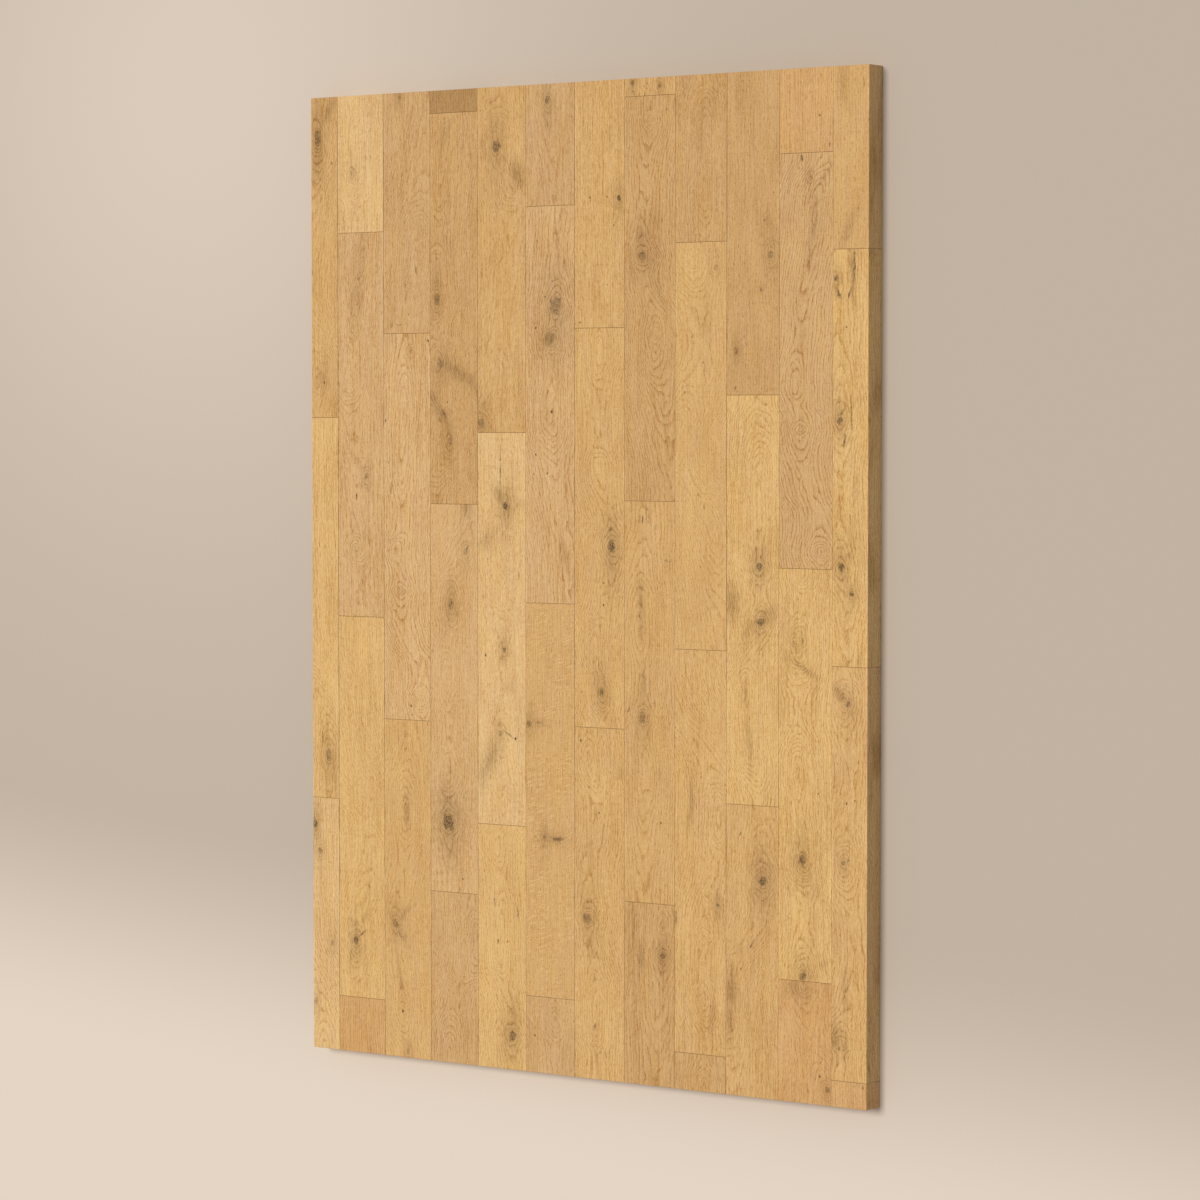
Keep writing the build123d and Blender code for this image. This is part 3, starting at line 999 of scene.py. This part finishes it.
def floor_material(settings):
    """A matt floor with painted light and shade: dim behind the panel, lighter in front of it and in a
    painted pool of light at its upper left.
    """
    material = bpy.data.materials.new("pale_floor")
    material.use_nodes = True
    tree = material.node_tree
    tree.nodes.clear()
    spot = add_node(tree, "ShaderNodeTexCoord", {}, output="Object")
    across, along, _ = split(spot)
    painted_front_light = NEAR_STRENGTH * smooth(along + FLOOR_SLANT * across, *FLOOR_LIGHTENS)
    pool_across = (across - POOL_MIDDLE[0]) / POOL_REACH[0]
    pool_along = (along - POOL_MIDDLE[1]) / POOL_REACH[1]
    painted_light_pool = POOL_STRENGTH * bell((pool_across * pool_across + pool_along * pool_along) ** 0.5)
    light = painted_front_light.math("MAXIMUM", painted_light_pool)
    shade = blend(light, (*settings.floor_far, 1.0), (*settings.floor, 1.0))
    shader = add_node(tree, "ShaderNodeBsdfPrincipled", {
        "Base Color": shade, "Roughness": FLOOR_ROUGHNESS})
    end = tree.nodes.new("ShaderNodeOutputMaterial")
    feed(tree, end.inputs["Surface"], shader)
    return material


def add_floor(settings):
    """The pale floor that the panel lies on."""
    mesh = bpy.data.meshes.new("floor")
    shape = bmesh.new()
    bmesh.ops.create_grid(shape, x_segments=1, y_segments=1, size=settings.floor_size / 2)
    shape.to_mesh(mesh)
    shape.free()
    floor = bpy.data.objects.new("floor", mesh)
    bpy.context.scene.collection.objects.link(floor)
    mesh.materials.append(floor_material(settings))


def add_lamp(settings):
    """One wide soft lamp from afar, as strong as its share of the face's light asks."""
    source = Vector(settings.lamp_from).normalized()
    lamp = bpy.data.lights.new("soft_lamp", "SUN")
    lamp.angle = settings.lamp_angle
    lamp.energy = settings.lamp_level * math.pi / source.z
    holder = bpy.data.objects.new("soft_lamp", lamp)
    holder.location = source * LAMP_DISTANCE
    holder.rotation_euler = (-source).to_track_quat("-Z", "Y").to_euler()
    bpy.context.scene.collection.objects.link(holder)


def add_sky(settings):
    """Even light from all round, of the floor's colour where the camera sees past the floor."""
    world = bpy.data.worlds.new("studio")
    world.use_nodes = True
    tree = world.node_tree
    tree.nodes.clear()
    seen = add_node(tree, "ShaderNodeLightPath", {}, output="Is Camera Ray")
    for ray in ("Is Glossy Ray", "Is Transmission Ray"):
        seen = seen.math("MAXIMUM", add_node(tree, "ShaderNodeLightPath", {}, output=ray))
    colour = blend(seen, (1.0, 1.0, 1.0, 1.0), (*settings.floor_far, 1.0))
    strength = settings.sky + seen * (1.0 - settings.sky)
    glow = add_node(tree, "ShaderNodeBackground", {"Color": colour, "Strength": strength})
    end = tree.nodes.new("ShaderNodeOutputWorld")
    feed(tree, end.inputs["Surface"], glow)
    bpy.context.scene.world = world


def add_camera(settings):
    """The camera, with the strips' upper ends towards the top of the picture."""
    eye = Vector(settings.eye)
    forward = (Vector(settings.target) - eye).normalized()
    right = forward.cross(Vector((0.0, 1.0, 0.0))).normalized()
    up = right.cross(forward)
    camera = bpy.data.cameras.new("camera")
    camera.sensor_width = SENSOR_WIDTH
    camera.lens = settings.lens
    camera.clip_end = SIGHT
    holder = bpy.data.objects.new("camera", camera)
    holder.matrix_world = Matrix.Translation(eye) @ Matrix((right, up, -forward)).transposed().to_4x4()
    bpy.context.scene.collection.objects.link(holder)
    bpy.context.scene.camera = holder


class PARQUET_OT_stage(bpy.types.Operator):
    """Lay a pale floor, hang a soft lamp and stand the camera over the panel"""
    bl_idname = "parquet.stage"
    bl_label = "Set the stage"

    def execute(self, context):
        settings = context.scene.parquet_stage
        add_floor(settings)
        add_lamp(settings)
        add_sky(settings)
        add_camera(settings)
        context.scene.view_settings.view_transform = "Standard"
        return {"FINISHED"}


class PARQUET_PT_panel(bpy.types.Panel):
    """Lists the steps and the settings"""
    bl_idname = "PARQUET_PT_panel"
    bl_label = "Oak parquet"
    bl_space_type = "VIEW_3D"
    bl_region_type = "UI"
    bl_category = "Parquet"

    def draw(self, context):
        for operator, settings in ((PARQUET_OT_oak_strips, context.scene.parquet_oak),
                                   (PARQUET_OT_stage, context.scene.parquet_stage)):
            self.layout.operator(operator.bl_idname)
            for name in settings.bl_rna.properties.keys():
                if name not in ("rna_type", "name"):
                    self.layout.prop(settings, name)


CLASSES = (ParquetOakSettings, ParquetStageSettings, PARQUET_OT_oak_strips, PARQUET_OT_stage,
           PARQUET_PT_panel)


def register():
    for cls in CLASSES:
        bpy.utils.register_class(cls)
    bpy.types.Scene.parquet_oak = bpy.props.PointerProperty(type=ParquetOakSettings)
    bpy.types.Scene.parquet_stage = bpy.props.PointerProperty(type=ParquetStageSettings)


def unregister():
    del bpy.types.Scene.parquet_stage
    del bpy.types.Scene.parquet_oak
    for cls in reversed(CLASSES):
        bpy.utils.unregister_class(cls)


def main():
    register()
    bpy.ops.parquet.oak_strips()
    bpy.ops.parquet.stage()


if __name__ == "__main__":
    main()
